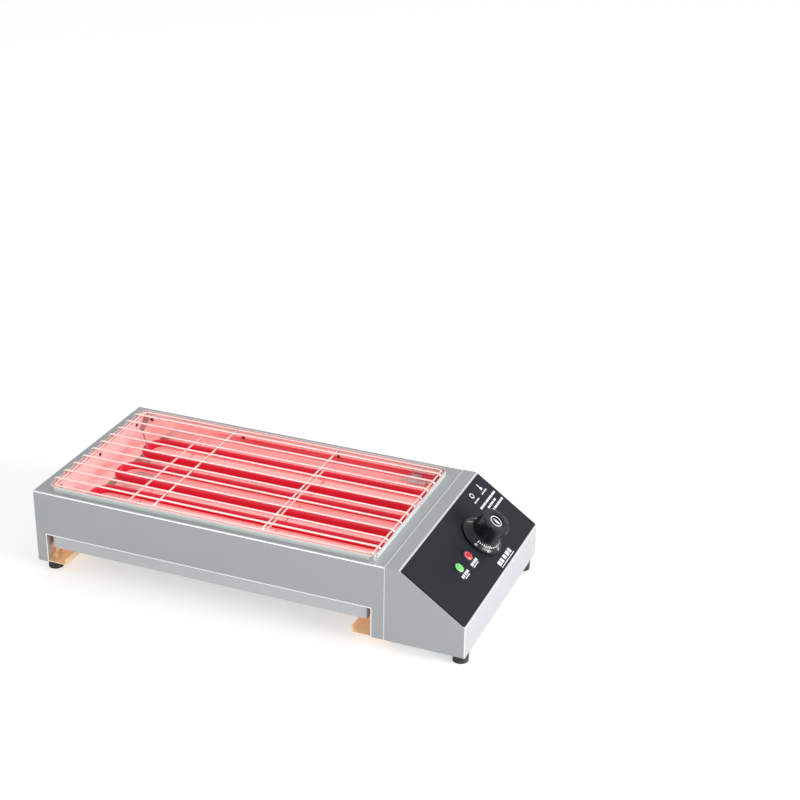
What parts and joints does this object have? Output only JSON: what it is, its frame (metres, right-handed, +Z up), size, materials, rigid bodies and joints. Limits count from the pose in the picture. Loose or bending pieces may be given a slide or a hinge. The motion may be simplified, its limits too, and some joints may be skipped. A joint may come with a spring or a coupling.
{
  "type": "electric skewer grill",
  "caption": "Low tabletop electric skewer grill: wire grate over heating tubes, a drip tray below them, and a control box with a sloping panel, a knob and pilot lamps.",
  "frame": {"origin": "on the table under the middle of the part's outline box", "axes": "+X along the length towards the control box, +Y from the front (the cut-out for the drip tray) to the back, +Z up"},
  "size_m": [0.498, 0.233, 0.1063],
  "materials": {
    "body_steel": "satin folded sheet",
    "liner_steel": "satin sheet",
    "dark_steel": "heat-darkened",
    "zinc_yellow": "yellow passivated zinc",
    "panel_black": "satin black",
    "foot_rubber": "matte",
    "screw_steel": "plain steel",
    "heating_tube": null,
    "brass": "plain",
    "copper": "plain copper tube",
    "ceramic": "unglazed",
    "knob_black": "satin black",
    "green_lens": "translucent green",
    "red_lens": "translucent red",
    "lamp_black": "black",
    "white_plastic": "white",
    "wire_sleeve": "glass-fibre sleeve",
    "grate_chrome": "bright plated wire"
  },
  "bodies": {
    "grill": {"chamber_shell": "body_steel", "grate_collar": "body_steel", "chamber_liner": "liner_steel", "partition_wall": "body_steel", "control_box_cover": "body_steel", "control_box_bottom": "body_steel", "control_panel": "panel_black", "left_base_rail": "zinc_yellow", "right_base_rail": "zinc_yellow", "left_tray_runner": "body_steel", "right_tray_runner": "body_steel", "front_left_foot": "foot_rubber", "back_left_foot": "foot_rubber", "front_right_foot": "foot_rubber", "back_right_foot": "foot_rubber", "foot_screws": "screw_steel", "liner_rivets": "dark_steel", "cover_screws": "screw_steel", "front_heating_tube": "heating_tube", "middle_heating_tube": "heating_tube", "rear_heating_tube": "heating_tube", "tube_bushings": "brass", "tube_nuts": "brass", "tube_pins": "screw_steel", "tube_support_bar": "dark_steel", "left_tube_cradle": "screw_steel", "right_tube_cradle": "screw_steel", "tube_tie": "dark_steel", "sensor_bulb": "screw_steel", "sensor_clip": "dark_steel", "capillary": "copper", "capillary_grommet": "foot_rubber", "thermostat_body": "ceramic", "thermostat_screws": "screw_steel", "green_lamp_lens": "green_lens", "red_lamp_lens": "red_lens", "green_lamp_body": "lamp_black", "red_lamp_body": "lamp_black", "lamp_nuts": "white_plastic", "terminal_block": "ceramic", "terminal_screws": "brass", "heater_wires": "wire_sleeve", "lamp_wires": "white_plastic", "earth_stud": "brass", "cord_bushing": "lamp_black"},
    "tray": {"drip_tray": "liner_steel"},
    "grate": {"grate_frame": "grate_chrome", "grate_rods": "grate_chrome", "grate_cross_rods": "grate_chrome"},
    "knob": {"knob": "knob_black", "thermostat_shaft": "screw_steel"}
  },
  "joints": [
    {"name": "tray_slide", "type": "slide", "parent": "grill", "child": "tray", "axis": [0, -1, 0], "range_m": [0, 0.2]},
    {"name": "grate_lift", "type": "slide", "parent": "grill", "child": "grate", "axis": [0, 0, 1], "range_m": [0, 0.15]},
    {"name": "knob_turn", "type": "hinge", "parent": "grill", "child": "knob", "pos_m": [0.21453, 0.022, 0.07075], "axis": [0.5754, 0, 0.8179], "range_deg": [-270, 0]}
  ]
}
